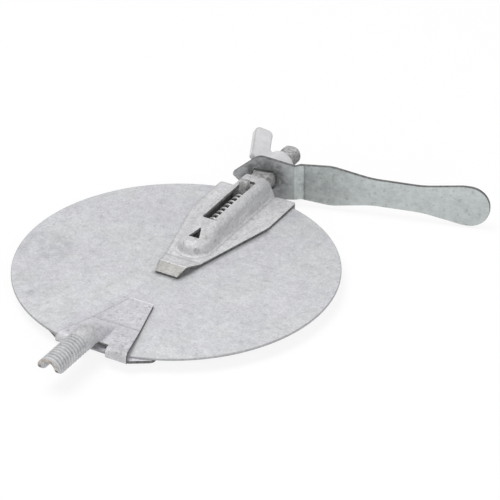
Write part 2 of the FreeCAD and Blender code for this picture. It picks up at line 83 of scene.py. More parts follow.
# %% Helpers for nodes
def node(tree, kind, inputs=None, **settings):
    """A new node, with its settings, and its inputs filled by value or by link."""
    made = tree.nodes.new(kind)
    for key, setting in settings.items():
        setattr(made, key, setting)
    for key, source in (inputs or {}).items():
        if isinstance(source, bpy.types.NodeSocket):
            tree.links.new(source, made.inputs[key])
        else:
            made.inputs[key].default_value = source
    return made


def maths(tree, operation, *values):
    made = node(tree, "ShaderNodeMath", dict(enumerate(values)), operation=operation)
    return made.outputs[0]


def vectors(tree, operation, *values):
    made = node(tree, "ShaderNodeVectorMath", dict(enumerate(values)), operation=operation)
    return made.outputs["Value" if operation in ("DISTANCE", "DOT_PRODUCT") else "Vector"]


def rescale(tree, source, low, high, start=0.0, end=1.0, **settings):
    """Stretches the values between low and high to those between start and end."""
    made = node(tree, "ShaderNodeMapRange", {"Value": source, "From Min": low, "From Max": high,
                                             "To Min": start, "To Max": end}, **settings)
    return made.outputs["Result"]


def split(tree, place):
    """The X, Y and Z of a place."""
    return node(tree, "ShaderNodeSeparateXYZ", {"Vector": place}).outputs


print("node helpers ready")


# %% [markdown]
# Tones are mixed by multiplying: a layer of white leaves the colour below it as it is, and a grey
# darkens it. That way any number of layers can be stacked in any order.

# %% Helpers for materials
def new_material(name):
    material = bpy.data.materials.new(name)
    material.use_nodes = True
    tree = material.node_tree
    shader = tree.nodes["Principled BSDF"]
    place = tree.nodes.new("ShaderNodeTexCoord").outputs["Object"]
    return material, tree, shader, place


def noise(tree, place, scale, detail=3.0, roughness=0.55):
    made = node(tree, "ShaderNodeTexNoise", {"Vector": place, "Scale": scale, "Detail": detail,
                                             "Roughness": roughness})
    return made.outputs["Fac"]


def ramp(tree, source, low, high, dark, pale):
    """Turns a grey value into two tones, with the change between low and high."""
    made = node(tree, "ShaderNodeValToRGB", {"Fac": source})
    first, last = made.color_ramp.elements
    first.position, last.position = low, high
    first.color, last.color = (*dark, 1.0), (*pale, 1.0)
    return made.outputs["Color"]


def multiply(tree, a, b):
    made = node(tree, "ShaderNodeMix", data_type="RGBA", blend_type="MULTIPLY")
    made.inputs["Factor"].default_value = 1.0
    tree.links.new(a, made.inputs["A"])
    tree.links.new(b, made.inputs["B"])
    return made.outputs["Result"]


def bump(tree, shader, height, strength, distance):
    made = node(tree, "ShaderNodeBump", {"Height": height, "Strength": strength,
                                         "Distance": distance})
    tree.links.new(made.outputs["Normal"], shader.inputs["Normal"])


def grey(level):
    return (level, level, level)


WHITE = grey(1.0)
print("material helpers ready")


# %% [markdown]
# Galvanized sheet is grey metal under a thin coat of zinc. Close to, it is mottled: soft clouds a
# few millimetres wide, smaller blots, a fine grain under one millimetre and a few dark specks. A
# photograph of zinc could be wrapped round the part, but it would stretch at the bends. Four
# noises of those sizes need no wrapping. The blade, the clips and the smoother handle all take this
# finish with other tones, so it is a function.

# %% Sheet metal
def sheet_metal(name, colour, cloud, grain, specks, gloss, metallic, bump_height, tints):
    """Mottled sheet: cloud, grain and specks say how far each noise darkens the colour.

    A tint is a function that takes the tree and the place and returns a colour to multiply by.
    """
    material, tree, shader, place = new_material(name)
    base = node(tree, "ShaderNodeRGB").outputs["Color"]
    base.default_value = (*colour, 1.0)
    tone = base
    # scale, detail and roughness of the noise, where its change starts and ends, and its depth
    for scale, detail, roughness, low, high, depth in (
            (170.0, 2.0, 0.55, 0.30, 0.70, cloud), (480.0, 2.0, 0.55, 0.35, 0.65, cloud),
            (1500.0, 4.0, 0.70, 0.35, 0.65, grain), (700.0, 1.0, 0.55, 0.29, 0.37, specks)):
        pattern = noise(tree, place, scale, detail, roughness)
        tone = multiply(tree, tone, ramp(tree, pattern, low, high, grey(1.0 - depth), WHITE))
    for tint in tints:
        tone = multiply(tree, tone, tint(tree, place))
    tree.links.new(tone, shader.inputs["Base Color"])
    rough = rescale(tree, noise(tree, place, 400.0), 0.0, 1.0, gloss - 0.07, gloss + 0.1)
    tree.links.new(rough, shader.inputs["Roughness"])
    shader.inputs["Metallic"].default_value = metallic
    bump(tree, shader, noise(tree, place, 900.0, 4.0), 0.5, bump_height)
    return material


print("sheet metal ready")


# %% [markdown]
# Cut edges, castings and wire have no clouds. The mottled sheet would do for them too, but on
# surfaces a few millimetres wide one noise between a dark and a pale tone is enough, and a bump of
# much the same grain makes them rough to the light. Where a press has cut a sheet, the raw edge is
# darker and rougher than the zinc beside it, so it gets a metal of its own. It is kept near black,
# so that it also paints the shade that lies along the sheets' edges.

# %% Plain metal
def plain_metal(name, dark, pale, scale, gloss, metallic, bump_height, tints=()):
    material, tree, shader, place = new_material(name)
    tone = ramp(tree, noise(tree, place, scale, 5.0, 0.65), 0.35, 0.68, dark, pale)
    for tint in tints:
        tone = multiply(tree, tone, tint(tree, place))
    tree.links.new(tone, shader.inputs["Base Color"])
    shader.inputs["Roughness"].default_value = gloss
    shader.inputs["Metallic"].default_value = metallic
    bump(tree, shader, noise(tree, place, 1.6 * scale, 5.0), 0.6, bump_height)
    return material


# the raw edge's own dark tone, kept near black as painted shade along the edges
cut_edge_and_shade = plain_metal("cut_edge_and_shade", dark=grey(0.07), pale=grey(0.20), scale=900.0, gloss=0.6,
                       metallic=0.3, bump_height=0.03 * MM)
print("plain metal and cut edge ready")


# %% [markdown]
# A real set isn't evenly grey. The lever is greasy round its hole, and soft light alone leaves the
# bends, the hole and the foot of a clip too flat, so they get painted shade and painted highlights.
# Such marks could be painted by hand. Here each is a tint instead: a layer that changes the colour
# near a place. The places are given in millimetres from the middle of the pivot line, so a mark
# stays where it belongs however finely the mesh is divided.

# %% Tints by place
def tint_along(axis, *stops):
    """A tint that changes along an axis; a stop is a place in mm and a grey or a colour."""
    def tint(tree, place):
        first, last = stops[0][0], stops[-1][0]
        share = rescale(tree, split(tree, place)[axis], first * MM, last * MM)
        colours = node(tree, "ShaderNodeValToRGB", {"Fac": share})
        marks = colours.color_ramp.elements
        marks.remove(marks[1])
        for index, (spot, tone) in enumerate(stops):
            at = (spot - first) / (last - first)
            mark = marks.new(at) if index else marks[0]
            mark.position = at
            mark.color = (*(tone if isinstance(tone, tuple) else grey(tone)), 1.0)
        return colours.outputs["Color"]
    return tint


def tint_around(spot, near, far, dark):
    """A tint that is full within the distance near of a spot, and gone at the distance far."""
    def tint(tree, place):
        off = vectors(tree, "DISTANCE", place, Vector(spot) * MM)
        fade = rescale(tree, off, near * MM, far * MM, interpolation_type="SMOOTHSTEP")
        return ramp(tree, fade, 0.0, 1.0, dark, WHITE)
    return tint


def smudge(spot, far, dark):
    """Blotches of grease round one spot."""
    def tint(tree, place):
        blot = ramp(tree, noise(tree, place, 330.0, 4.0, 0.6), 0.42, 0.58, dark, WHITE)
        off = vectors(tree, "DISTANCE", place, Vector(spot) * MM)
        share = rescale(tree, off, 0.6 * far * MM, far * MM, interpolation_type="SMOOTHSTEP")
        made = node(tree, "ShaderNodeMix", data_type="RGBA")
        tree.links.new(share, made.inputs["Factor"])
        tree.links.new(blot, made.inputs["A"])
        made.inputs["B"].default_value = (*WHITE, 1.0)
        return made.outputs["Result"]
    return tint


print("tints by place ready")


# %% [markdown]
# Many marks are thin lines: a painted highlight inside a cut edge, painted shade along a leaf's
# side and a painted shadow where two sheets meet. Narrow faces with a material of their own could
# draw them, but would end in hard borders. Here a line is given as a few points. For each stretch,
# the nodes find the nearest spot on it by a dot product, and the distance to that spot drives a
# soft tint.

# %% Tints along a line
def line_tint(points, width, tone, plane=(1.0, 1.0, 0.0), core=0.6):
    """A tint along points in mm, seen square to a plane; core is the share with the full tone."""
    def tint(tree, place):
        flat = vectors(tree, "MULTIPLY", place, plane)
        near = 1.0
        for point, following in zip(points, points[1:]):
            start, way = Vector(point) * MM, (Vector(following) - Vector(point)) * MM
            reach = vectors(tree, "SUBTRACT", flat, start)
            share = vectors(tree, "DOT_PRODUCT", reach, way / way.length_squared)
            share = maths(tree, "MINIMUM", maths(tree, "MAXIMUM", share, 0.0), 1.0)
            nearest = vectors(tree, "MULTIPLY", way, share)
            near = maths(tree, "MINIMUM", near, vectors(tree, "DISTANCE", reach, nearest))
        share = maths(tree, "DIVIDE", near, width * MM)
        return ramp(tree, share, core, 1.0, tone, WHITE)
    return tint


print("line tints ready")


# %% [markdown]
# A press leaves broad faces with one sheet of metal behind them, and cut edges with far more. The
# edges could be picked by hand. A ray sent into the metal from each face tells the two apart in any
# pressing, as long as no bevel has softened it yet.

# %% Find the cut edges
def mark_cuts(build, sheet):
    """Gives the second material to faces with more than two sheets of metal behind them."""
    metal = BVHTree.FromBMesh(build)
    largest = {}
    for loops in build.calc_loop_triangles():
        a, b, c = (loop.vert.co for loop in loops)
        area = (b - a).cross(c - a).length
        if area > largest.get(loops[0].face, (0.0,))[0]:
            largest[loops[0].face] = area, (a + b + c) / 3
    for face, (area, middle) in largest.items():
        depth = metal.ray_cast(middle - face.normal * 0.01 * MM, -face.normal)[3]
        face.material_index = 1 if depth and depth > 2 * sheet else 0
    return sum(face.material_index for face in build.faces)


print("cut edge finder ready")


# %% [markdown]
# A solid from a CAD program has knife-sharp edges, and a real pressing never has: its edges catch
# the light. A Bevel node in the material would fake that light, but leave the outline sharp. So
# each solid is copied, its loose triangles are joined, flat ones are merged to large faces, and a
# Bevel modifier rounds what is still sharp. On a sheet the bevel takes the dark metal of the cut,
# which widens the painted shade along the edges. The copy then stands for the solid, which itself
# is left alone.

# %% Copies with soft edges
MERGE = 0.001 * MM
SOFT_EDGE = 0.15 * MM


def add_object(name, mesh):
    made = bpy.data.objects.new(name, mesh)
    bpy.context.scene.collection.objects.link(made)
    return made


def bake(piece):
    """Turns the piece's modifiers into plain mesh."""
    graph = bpy.context.evaluated_depsgraph_get()
    done = bpy.data.meshes.new_from_object(piece.evaluated_get(graph), depsgraph=graph)
    piece.modifiers.clear()
    piece.data = done
    return piece


def soft_copy(name, materials, sheet=None, width=SOFT_EDGE):
    """A copy of a CAD node with bevelled edges; sheet is its thickness if it has cut edges."""
    mesh = bpy.data.meshes.new(name + "_soft")
    for material in materials:
        mesh.materials.append(material)
    build = bmesh.new()
    build.from_mesh(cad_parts[name].data)
    bmesh.ops.remove_doubles(build, verts=build.verts, dist=MERGE)
    bmesh.ops.dissolve_limit(build, angle_limit=math.radians(0.4), verts=build.verts,
                             edges=build.edges, delimit=set())
    if sheet:
        print(f"{name}: {mark_cuts(build, sheet)} cut faces")
    build.to_mesh(mesh)
    build.free()
    piece = add_object(name + "_dressed", mesh)
    bevel = piece.modifiers.new("edges", "BEVEL")
    bevel.width, bevel.segments, bevel.limit_method = width, 2, "ANGLE"
    bevel.angle_limit = math.radians(35.0)
    # on a sheet the bevel takes the cut metal, which widens the painted shade along the edges
    bevel.material = 1 if sheet else -1
    return bake(piece)


print(f"edges will be rounded by {SOFT_EDGE / MM:.2f} mm")


# %% [markdown]
# Two small steps end every piece. Flat shading would show each facet of a curve, and smooth
# shading alone would blur the corners, so it gets a limit: an edge that turns by more stays crisp.
# Then the solid that the piece stands for is hidden, and the piece is hung on the body that it
# rides on.

# %% Finish a piece
def smooth(piece, angle=32.0):
    piece.data.shade_smooth()
    piece.data.set_sharp_from_angle(angle=math.radians(angle))
    return piece


def stand_in(piece, name, body):
    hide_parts(name)
    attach(piece, body)
    print(f"{piece.name}: {len(piece.data.polygons)} faces, rides on {body}")


def dressed_sheet(name, thickness, metal, body):
    piece = soft_copy(name, (metal, cut_edge_and_shade), sheet=thickness)
    stand_in(smooth(piece), name, body)
    return piece


print("finishing steps ready")


# %% [markdown]
# The blade's zinc has cooled in broad patches, a little bluer or yellower. It is smudged at one
# side and raw and grey at the rim. Along the foot of the clip that lies on it runs a dark line, a
# painted contact shadow that sets the clip on the sheet. A picture of a used sheet would bring its
# own light and shadow with it, and the tints bring only the colour and this one painted shadow.

# %% The blade's finish
def spangle(cool, warm):
    """Broad patches of two tones, as zinc leaves them where it cools."""
    def tint(tree, place):
        return ramp(tree, noise(tree, place, 60.0, 3.0, 0.6), 0.38, 0.60, cool, warm)
    return tint


def rim(radius, dark):
    """A tint for the edge of a disc."""
    def tint(tree, place):
        off = vectors(tree, "DISTANCE", vectors(tree, "MULTIPLY", place, (1.0, 1.0, 0.0)),
                      (0.0, 0.0, 0.0))
        return ramp(tree, maths(tree, "GREATER_THAN", off, radius * MM), 0.0, 1.0, WHITE, dark)
    return tint


contact_shadow_by_lip = [(-4.0, -5.6, 0), (3.9, -5.6, 0), (13.4, 30.5, 0)]
blade_metal = sheet_metal(
    "galvanized_blade", colour=(0.69, 0.69, 0.72), cloud=0.10, grain=0.22, specks=0.13, gloss=0.55,
    metallic=0.3, bump_height=0.02 * MM, tints=(
        rim(48.8, grey(0.68)),
        spangle((0.97, 0.97, 0.985), (1.0, 1.01, 0.985)),
        smudge((-39.7, -9.8, -4.0), 11.0, grey(0.88)),
        smudge((-31.5, -27.7, -4.0), 9.0, grey(0.90)),
        # painted contact shadow along the foot of the clip
        line_tint(contact_shadow_by_lip, 1.5, grey(0.66), core=0.2)))
print("blade finish ready")


# %% [markdown]
# The blade is a disc cut from thin sheet. A copy of the solid would show the facets of its rim.
# Instead the disc is turned like a bowl on a lathe: Spin carries a section with rounded corners
# round the axis in 256 steps, with the radius and the two faces read from the solid.

# %% The blade
def blade_disc(corner=SOFT_EDGE, corner_steps=4, turn_steps=256):
    low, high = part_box("blade")
    radius = high.x
    quarter = [math.pi / 2 * index / corner_steps for index in range(corner_steps + 1)]
    section = [(0.0, low.z)]
    section += [(radius - corner + corner * math.sin(a), low.z + corner - corner * math.cos(a))
                for a in quarter]
    section += [(radius - corner + corner * math.cos(a), high.z - corner + corner * math.sin(a))
                for a in quarter]
    section.append((0.0, high.z))
    build = bmesh.new()
    points = [build.verts.new((x, 0, z)) for x, z in section]
    edges = [build.edges.new(pair) for pair in zip(points, points[1:])]
    bmesh.ops.spin(build, geom=points + edges, cent=(0, 0, 0), axis=(0, 0, 1), angle=math.tau,
                   steps=turn_steps)
    bmesh.ops.remove_doubles(build, verts=build.verts, dist=MERGE)
    bmesh.ops.recalc_face_normals(build, faces=build.faces)
    mesh = bpy.data.meshes.new("blade_turned")
    build.to_mesh(mesh)
    build.free()
    return add_object("blade_dressed", mesh)


blade = smooth(blade_disc())
blade.data.materials.append(blade_metal)
stand_in(blade, "blade", "blade_assembly")


# %% [markdown]
# Both clips are pressed from the same sheet, so they share one metal. The press has left fine
# scratches along the pivot line, where the sheet was drawn. A dark line round the tunnel's foot is
# painted shade in the crease there, and the bottoms of the rolled thread are painted dark as shade.
# Scratches could be cut into the mesh, but they are far finer than its faces, so they are drawn in
# the colour alone. For the shade in the thread, the thread tree further on stores how deep each
# point lies, and the material reads that attribute.

# %% Marks of the press and painted shade
def drawn_marks(dark, stretch=(1.0, 0.12, 0.6)):
    """Short scratches in the direction in which the sheet was drawn."""
    def tint(tree, place):
        pattern = noise(tree, vectors(tree, "MULTIPLY", place, stretch), 1500.0, 2.0)
        return ramp(tree, pattern, 0.36, 0.50, grey(1.0 - dark), WHITE)
    return tint


def foot_line(radius, dome_at, dark):
    """Painted shade for the crease round the tunnel's foot: two straight sides and a half circle.
    """
    def tint(tree, place):
        x, y = split(tree, place)[:2]
        beyond = maths(tree, "MINIMUM", maths(tree, "SUBTRACT", y, dome_at * MM), 0.0)
        squares = maths(tree, "ADD", maths(tree, "MULTIPLY", x, x),
                        maths(tree, "MULTIPLY", beyond, beyond))
        off = maths(tree, "SQRT", squares)
        on_line = maths(tree, "COMPARE", off, radius * MM, 0.25 * MM)
        return ramp(tree, on_line, 0.0, 1.0, WHITE, dark)
    return tint


def marked(attribute, low, high, tone):
    """A tint where the mesh itself carries a mark, such as the bottoms of its threads."""
    def tint(tree, place):
        mark = node(tree, "ShaderNodeAttribute", attribute_name=attribute)
        return ramp(tree, mark.outputs["Fac"], low, high, WHITE, tone)
    return tint


print("press marks ready")


# %% [markdown]
# The clip metal lists its tints from broad to fine. Across the pivot line, where the leaves bend,
# bands of painted shade and a painted highlight stand for the light on the creases, and the stud is
# a little darker as painted shade. The lip at the regulator's front is bare and a little yellow,
# and darker as painted shade. The sheet is painted darker the higher it stands, and the end
# bearing's leaf is bluer and a little darker as painted shade. A small dark pip lies beside the
# dome, and a fold of the end bearing is in shade. Painted shade runs along the leaves' sides, and a
# painted highlight along the head of the end bearing's leaf. Each mark could be a material on faces
# of its own. As tints of one metal they run into each other, as on the real sheet.

# %% The clips' finish
lip_bare_and_shaded = (0.69, 0.68, 0.645)
cool_end, cool_leaf_shade = (0.98, 0.985, 0.985), (0.96, 0.955, 0.985)
# painted shade in bands where the leaves bend and on the stud, and a painted highlight at the lip's
# top bend; the lip is bare and yellow, and darkened as painted shade
crease_light_and_shade = tint_along(
    "Y", (-53, 0.95), (-49, 1.02), (-36.8, 1.0), (-36.1, 0.82), (-35.8, 0.82), (-35.2, 1.0),
    (-6.6, 1.0), (-6.5, lip_bare_and_shaded), (-2.1, lip_bare_and_shaded), (-2.0, 1.25), (-1.6, 1.25), (-1.4, 0.95),
    (3.1, 0.95), (3.4, 0.82), (4.0, 0.82), (4.5, 1.0))
# painted shade: the sheet is darker the higher it stands
shade_by_height = tint_along("Z", (-3.1, 1.0), (-1.5, 0.93), (3.4, 0.87))
# bluer, and a little darker as painted shade, along the end bearing's leaf
bluish_shade = tint_along("Y", (-52, cool_end), (-47, cool_leaf_shade), (-22, cool_leaf_shade), (-18, 1.0))
pip = tint_around((2.9, 6.9, -1.2), 0.7, 1.4, grey(0.74))
shaded_fold = tint_around((11.4, -51.0, -1.5), 2.0, 5.0, grey(0.78))
# painted shade along the leaves' sides, and a painted highlight along the head of the end bearing's
# leaf
side_shade_line = [(-3.6, -5.8, 0), (-13.3, 31.0, 0), (-13.3, 50.0, 0)]
end_side_shade_line = [(-10.2, -50.0, 0), (-2.3, -22.0, 0)]
end_head_highlight_line = [(-2.3, -22.0, 0), (5.7, -22.0, 0)]
clip_metal = sheet_metal(
    "galvanized_clip", colour=(0.755, 0.755, 0.77), cloud=0.10, grain=0.24, specks=0.26, gloss=0.62,
    metallic=0.3, bump_height=0.03 * MM, tints=(
        crease_light_and_shade, shade_by_height, bluish_shade, pip, shaded_fold,
        # painted shade in the crease round the tunnel's foot
        foot_line(6.0, 11.0, grey(0.84)),
        drawn_marks(0.08),
        line_tint(side_shade_line, 0.55, grey(0.80)),
        line_tint(end_side_shade_line, 0.5, grey(0.82)),
        line_tint(end_head_highlight_line, 0.5, grey(1.32)),
        # painted shade in the bottoms of the thread's grooves
        marked("groove", 0.25, 0.9, grey(0.7))))
print("clip finish ready")


# %% [markdown]
# The regulator clip is the largest pressing: a domed tunnel with a slot and a small window, on a
# leaf that grips the blade's edge. It could be modelled again in Blender, but a copy of the solid
# is sure to fit the other pieces. The copy gets soft edges and dark cuts. Little light reaches the
# tunnel's inside, so the faces that look at the pivot line from close by get a dark metal of their
# own, as painted shade.

# %% The regulator clip
# painted shade: a dark metal for the faces inside the tunnel
inside = plain_metal("painted_shade_inside_tunnel", dark=grey(0.16), pale=grey(0.36), scale=500.0, gloss=0.6,
                     metallic=0.3, bump_height=0.03 * MM)
clip_sheet = 0.9 * MM
regulator = dressed_sheet("regulator_clip", clip_sheet, clip_metal, "blade_assembly")
regulator.data.materials.append(inside)


def in_tunnel(face, dome_at=8.0 * MM, reach=5.6 * MM):
    """Whether a face looks at the pivot line from inside the tunnel."""
    spoke = Vector((face.center.x, 0.0, face.center.z))
    looks_in = face.normal.dot(spoke) < -0.3 * spoke.length
    level = face.normal.z > 0.9
    return face.center.y > dome_at and spoke.length < reach and looks_in and not level


tunnel_faces = [face for face in regulator.data.polygons if in_tunnel(face)]
for face in tunnel_faces:
    face.material_index = 2
print("faces inside the tunnel:", len(tunnel_faces))


# %% [markdown]
# The stud and the shaft carry the same thread, 20 turns to the inch. Turns could be modelled as a
# spiral and joined on, but the joint would show. Geometry Nodes press the thread into the surface
# instead. The tree reads each point's distance from the pivot line and its angle round it, works
# out where on the thread's turn it lies, and pulls it in towards the line. A rolled thread moves
# the whole sheet, and a cut one only takes off what stands out beyond its grooves, so a flat stays
# flat. A right-hand thread climbs along +Y as the angle goes from +Z to +X.

# %% The thread tree
PITCH = 1.27 * MM


def socket_inputs(tree, sizes):
    tree.interface.new_socket("Geometry", in_out="INPUT", socket_type="NodeSocketGeometry")
    for title, size in sizes.items():
        item = tree.interface.new_socket(title, in_out="INPUT", socket_type="NodeSocketFloat")
        item.default_value = size
    tree.interface.new_socket("Geometry", in_out="OUTPUT", socket_type="NodeSocketGeometry")
    return tree.nodes.new("NodeGroupInput"), tree.nodes.new("NodeGroupOutput")


def point_parts(tree):
    return split(tree, tree.nodes.new("GeometryNodeInputPosition").outputs[0])


def thread_fade(tree, size, y, z):
    """How much of the thread is left near its two ends, and low down on a half tube."""
    fade_in = rescale(tree, y, size["From"], maths(tree, "ADD", size["From"], size["Run out"]))
    fade_out = rescale(tree, y, maths(tree, "SUBTRACT", size["To"], size["Run out"]), size["To"],
                       1.0, 0.0)
    fade_down = rescale(tree, z, size["Floor"], maths(tree, "ADD", size["Floor"], size["Rise"]),
                        0.2, 1.0)
    return maths(tree, "MULTIPLY", fade_down, maths(tree, "MULTIPLY", fade_in, fade_out))


def thread_tree():
    tree = bpy.data.node_groups.new("cut_thread", "GeometryNodeTree")
    given, result = socket_inputs(tree, {
        "Pitch": PITCH, "Depth": 0.5 * MM, "Outside radius": 0.0, "From": 0.0, "To": 10 * MM,
        "Run out": 1.0 * MM, "Floor": -10 * MM, "Rise": 1.0 * MM})
    size = given.outputs
    x, y, z = point_parts(tree)
    radius = maths(tree, "SQRT", maths(tree, "ADD", maths(tree, "MULTIPLY", x, x),
                                       maths(tree, "MULTIPLY", z, z)))
    turn = maths(tree, "DIVIDE", maths(tree, "ARCTAN2", x, z), math.tau)
    phase = maths(tree, "SUBTRACT", maths(tree, "DIVIDE", y, size["Pitch"]), turn)
    wave = maths(tree, "COSINE", maths(tree, "MULTIPLY", phase, math.tau))
    wave = maths(tree, "MULTIPLY_ADD", wave, 0.5, 0.5)
    depth = maths(tree, "MULTIPLY", maths(tree, "MULTIPLY", wave, size["Depth"]),
                  thread_fade(tree, size, y, z))
    groove = maths(tree, "SUBTRACT", size["Outside radius"], depth)
    proud = maths(tree, "MAXIMUM", maths(tree, "SUBTRACT", radius, groove), 0.0)
    depth = maths(tree, "MINIMUM", depth, proud)
    share = maths(tree, "DIVIDE", depth, size["Depth"])
    marks = node(tree, "GeometryNodeStoreNamedAttribute",
                 {"Geometry": given.outputs["Geometry"], "Name": "groove", "Value": share},
                 domain="POINT")
    inward = maths(tree, "DIVIDE", maths(tree, "MULTIPLY", depth, -1.0),
                   maths(tree, "MAXIMUM", radius, 0.01 * MM))
    offset = node(tree, "ShaderNodeCombineXYZ", {"X": maths(tree, "MULTIPLY", x, inward),
                                                 "Z": maths(tree, "MULTIPLY", z, inward)})
    moved = node(tree, "GeometryNodeSetPosition", {"Geometry": marks.outputs[0],
                                                   "Offset": offset.outputs[0]})
    tree.links.new(moved.outputs[0], result.inputs[0])
    return tree


cut_thread = thread_tree()
print("thread tree:", len(cut_thread.nodes), "nodes")


# %% [markdown]
# The tree can only move points that are there. Subdividing the whole piece would add them, most of
# them where no thread runs. Rings of edges, ten to a turn, add them only along the stretch. A
# tree's inputs are set by their identifiers, because two inputs may have the same title.

# %% Cut a thread
def run_tree(piece, tree, sizes):
    """Runs a tree on a piece with some of its inputs changed, and keeps the result as mesh."""
    modifier = piece.modifiers.new(tree.name, "NODES")
    modifier.node_group = tree
    names = {item.name: item.identifier for item in tree.interface.items_tree
             if item.in_out == "INPUT"}
    for title, size in sizes.items():
        modifier[names[title]] = size
    return bake(piece)


def thread(piece, start, end, sizes, rings_per_turn=10):
    """Cuts rings of edges along the stretch, then lets the tree press the thread into them."""
    build = bmesh.new()
    build.from_mesh(piece.data)
    count = round((end - start) / PITCH * rings_per_turn)
    for index in range(count + 1):
        place = Vector((0, start + (end - start) * index / count, 0))
        everything = build.verts[:] + build.edges[:] + build.faces[:]
        bmesh.ops.bisect_plane(build, geom=everything, plane_co=place, plane_no=Vector((0, 1, 0)),
                               dist=MERGE)
    build.to_mesh(piece.data)
    build.free()
    run_tree(piece, cut_thread, {"Pitch": PITCH, "From": start, "To": end, **sizes})
    print(f"{piece.name}: thread of {(end - start) / PITCH:.1f} turns")


print(f"thread pitch: {PITCH / MM:.2f} mm")


# %% [markdown]
# The end bearing is one pressing too, and its half tube is threaded. A thread cut from outside
# only would leave the sheet thin at each groove. On the real one it is rolled in and the sheet
# keeps its thickness, so both the outside and the inside follow it. The thread runs out before the
# rib, and fades towards the tube's lower edges. The tip is cut off raw and has begun to brown.

# %% The end bearing
raw_tip = plain_metal("raw_tip", dark=(0.30, 0.255, 0.22), pale=(0.60, 0.575, 0.55), scale=500.0,
                      gloss=0.6, metallic=0.2, bump_height=0.03 * MM)
bearing = soft_copy("end_bearing", (clip_metal, cut_edge_and_shade, raw_tip), sheet=clip_sheet)
bearing_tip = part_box("end_bearing")[0].y
thread_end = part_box("blade")[0].y - 4.0 * MM
for face in bearing.data.polygons:
    if face.center.y < bearing_tip + 0.1 * MM:
        face.material_index = 2
thread(bearing, bearing_tip + 0.3 * MM, thread_end,
       {"Depth": 0.55 * MM, "Run out": 1.5 * MM, "Floor": -1.7 * MM, "Rise": 2.2 * MM})
stand_in(smooth(bearing, 60.0), "end_bearing", "blade_assembly")


# %% [markdown]
# The drive shaft is die cast, with a flat along its whole top, and is duller and grainier than the
# sheets. Its thread is shallow and a little worn, as cast threads are, and shows at the sides of
# the flat only. A plain screw could be cut and then planed flat. The same tree does both at once
# when it is given the outside radius, because it takes off only what stands beyond its grooves.

# %% The drive shaft
shaft_metal = plain_metal("cast_shaft", dark=grey(0.20), pale=(0.53, 0.53, 0.525), scale=900.0,
                          gloss=0.6, metallic=0.3, bump_height=0.10 * MM)
shaft = soft_copy("drive_shaft", (shaft_metal,))
shaft_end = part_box("drive_shaft")[1].y
nut_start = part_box("wing_nut")[0].y
thread_radius = 6.35 * MM / 2
thread(shaft, nut_start, shaft_end - 0.4 * MM,
       {"Depth": 0.45 * MM, "Outside radius": thread_radius})
stand_in(smooth(shaft, 60.0), "drive_shaft", "shaft")


# %% [markdown]
# The lever is a smooth plated pressing, a little green beside the zinc. Its mounting plate is
# painted in shade, darker still round the hole, and greasy there in blotches, and has painted
# bright and dark stripes, highlight and shade, where the joggle bends. A thin dark line over the
# flat that keys the shaft is a painted shadow. The bends themselves are in the solid, but soft
# light alone hardly shows them, so their light and shade are added as tints.

# %% The lever's finish
hole = (0.0, 52.4, 0.0)
# painted shade on the mounting plate, and painted highlight and shade stripes at the joggle's bends
joggle_light_and_shade = tint_along(
    "X", (-11, (1.0, 0.96, 0.97)), (-7.5, (0.93, 0.89, 0.90)), (-4, (0.74, 0.705, 0.72)),
    (7, (0.76, 0.735, 0.75)), (9.0, 0.80), (9.3, 0.70), (9.7, 1.0), (10.2, 0.93), (10.8, 1.0),
    (11.8, 0.98), (11.9, 0.5), (12.2, 0.5), (12.4, 0.74), (20, 0.84), (34, 1.0))
# painted shadow in the gap over the flat
shadow_over_flat = [(-2.9, 0, 2.9), (2.6, 0, 2.9)]
handle_metal = sheet_metal(
    "plated_handle", colour=(0.565, 0.605, 0.60), cloud=0.10, grain=0.10, specks=0.20, gloss=0.5,
    metallic=0.35, bump_height=0.01 * MM, tints=(
        # painted shade round the hole
        tint_around(hole, 4.0, 10.0, grey(0.85)),
        smudge(hole, 9.0, grey(0.55)),
        smudge((16.0, 55.5, 0.0), 13.0, grey(0.84)),
        joggle_light_and_shade,
        drawn_marks(0.07, stretch=(0.12, 1.0, 1.0)),
        line_tint(shadow_over_flat, 0.42, grey(0.4), plane=(1.0, 0.0, 1.0))))
print("lever finish ready")


# %% [markdown]
# The lever leans in its loose hole, and from the front a glint of the table would show through one
# upper corner of the hole. Closing the hole with another piece would hide it, but that piece isn't
# there on a real set. So the points at that corner are drawn in towards the shaft by less than
# half a millimetre, and the points beside them by less still.

# %% The lever
handle = dressed_sheet("handle", 1.1 * MM, handle_metal, "lever")
drawn_in = 0.45 * MM


def at_corner(x, y, z):
    return -4.5 < x < -2.0 and 1.6 < z < 3.0 and y < 53.5


corner = [vertex for vertex in handle.data.vertices if at_corner(*(vertex.co / MM))]
for vertex in corner:
    vertex.co.x += drawn_in * min(1.0, (-2.0 - vertex.co.x / MM) / 1.5)
print("points drawn in at the hole's corner:", len(corner))


# %% [markdown]
# The wing nut is a casting, and no corner of it is sharp: wings flow into the hub. A bevel can't do
# that where faces meet at a slant. The copy is rebuilt on a fine grid by a Remesh modifier, and a
# Smooth modifier lets the corners flow. The bore must stay a true circle, so its points are put
# back. Bend is measured between each point and its neighbours: where their normals lean apart, the
# surface rounds outwards.

# %% Helpers for a casting
def cast_copy(name, material, bore, grain, rounds, near_bore=0.15 * MM):
    """A copy rebuilt on a fine grid and smoothed, so that every corner flows as in a casting."""
    piece = soft_copy(name, (material,), width=2 * SOFT_EDGE)
    remesh = piece.modifiers.new("grid", "REMESH")
    remesh.mode, remesh.voxel_size = "VOXEL", grain
    flow = piece.modifiers.new("flow", "SMOOTH")
    flow.factor, flow.iterations = 0.5, rounds
    bake(piece)
    for vertex in piece.data.vertices:
        spoke = Vector((vertex.co.x, 0.0, vertex.co.z))
        if spoke.length < bore + near_bore:
            spoke = spoke.normalized() * bore
            vertex.co = (spoke.x, vertex.co.y, spoke.z)
    return piece


